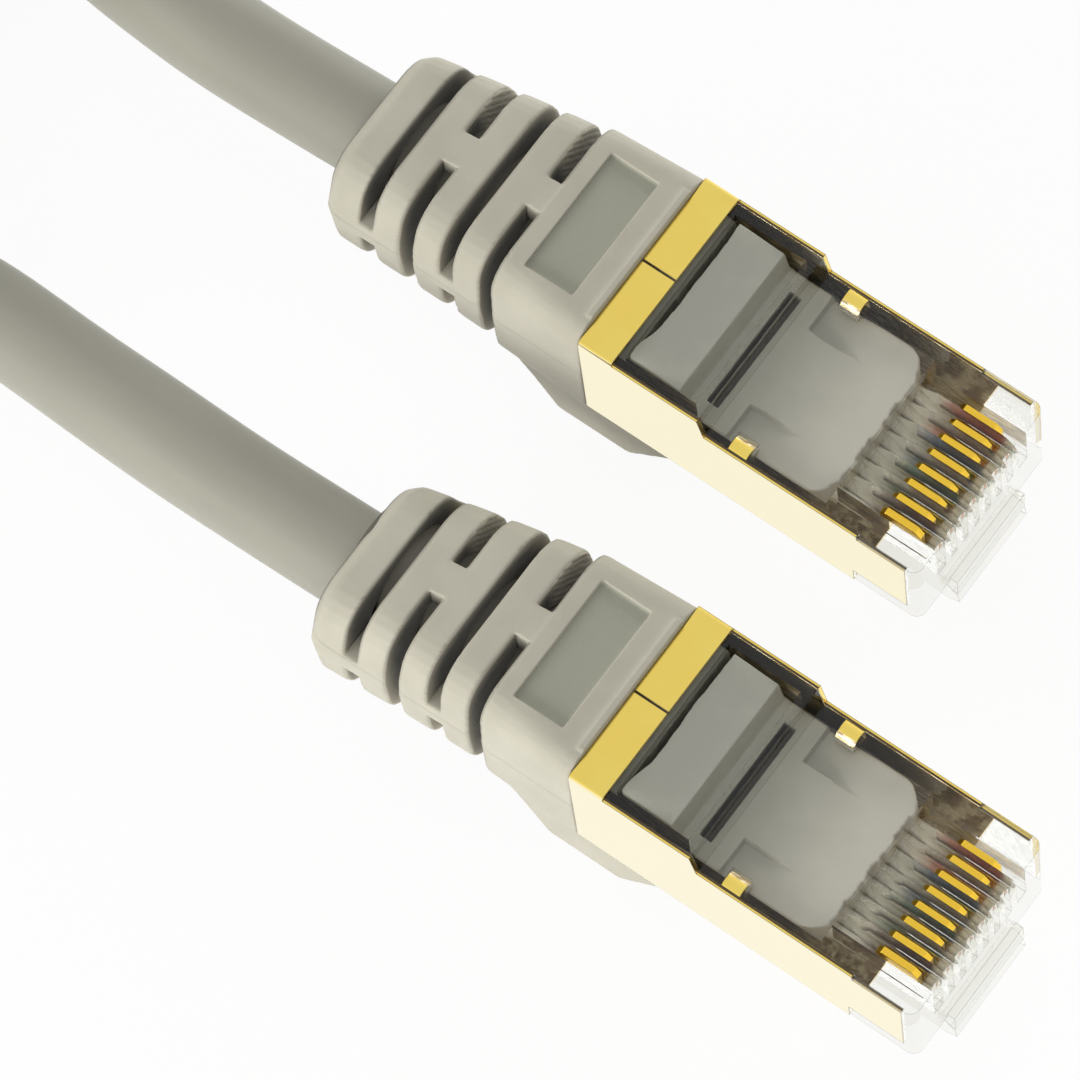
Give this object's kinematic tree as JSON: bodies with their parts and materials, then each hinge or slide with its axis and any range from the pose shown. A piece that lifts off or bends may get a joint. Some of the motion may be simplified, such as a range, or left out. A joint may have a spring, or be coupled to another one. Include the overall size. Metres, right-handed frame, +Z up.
{
  "type": "shielded patch cable",
  "caption": "Shielded network patch cable with clear plugs in gold-plated shells, grey snagless boots with flex slots, and a round grey cable wound into a tied coil.",
  "frame": {"origin": "on the surface under the middle of the box round the two plugs and their boots, without the free cable", "axes": "+X the way both plugs mate, +Y from plug B towards plug A, +Z up, away from the latches; the spare cable lies towards -X"},
  "size_m": [0.1474, 0.0688, 0.0146],
  "materials": {
    "clear_polycarbonate": "clear injection moulding, polished",
    "gold_plated_sheet": "folded sheet, bright gold plating",
    "gold_plated_contact": "stamped phosphor bronze, hard gold plating",
    "grey_filling": "low-pressure filling, satin",
    "grey_boot_pvc": "soft injection-moulded PVC, matt",
    "grey_jacket_pvc": "extruded soft PVC, satin",
    "tinned_braid": "tinned copper braid",
    "orange_insulation": "extruded polyethylene",
    "green_insulation": "extruded polyethylene",
    "blue_insulation": "extruded polyethylene",
    "brown_insulation": "extruded polyethylene",
    "bare_copper": "drawn bare copper",
    "tie_fabric": "woven hook-and-loop tape"
  },
  "bodies": {
    "cable": {"housing_a": "clear_polycarbonate", "shell_a": "gold_plated_sheet", "contacts_a": "gold_plated_contact", "overmould_a": "grey_filling", "boot_a": "grey_boot_pvc", "jacket_end_a": "grey_jacket_pvc", "braid_a": "tinned_braid", "pair_orange_a": "orange_insulation", "pair_green_a": "green_insulation", "pair_blue_a": "blue_insulation", "pair_brown_a": "brown_insulation", "copper_a": "bare_copper", "housing_b": "clear_polycarbonate", "shell_b": "gold_plated_sheet", "contacts_b": "gold_plated_contact", "overmould_b": "grey_filling", "boot_b": "grey_boot_pvc", "jacket_end_b": "grey_jacket_pvc", "braid_b": "tinned_braid", "pair_orange_b": "orange_insulation", "pair_green_b": "green_insulation", "pair_blue_b": "blue_insulation", "pair_brown_b": "brown_insulation", "copper_b": "bare_copper", "cable_run_a": "grey_jacket_pvc", "cable_coil": "grey_jacket_pvc", "cable_run_b": "grey_jacket_pvc", "coil_tie": "tie_fabric"},
    "latch_a": {"latch_a": "clear_polycarbonate"},
    "latch_b": {"latch_b": "clear_polycarbonate"}
  },
  "joints": [
    {"name": "latch_hinge_a", "type": "hinge", "parent": "cable", "child": "latch_a", "pos_m": [0.01195, 0.01, 0.00435], "axis": [0, 1, 0], "range_deg": [0, 8], "stiffness_Nm_per_rad": 0.05},
    {"name": "latch_hinge_b", "type": "hinge", "parent": "cable", "child": "latch_b", "pos_m": [0.02595, -0.01, 0.00435], "axis": [0, 1, 0], "range_deg": [0, 8], "stiffness_Nm_per_rad": 0.05}
  ]
}
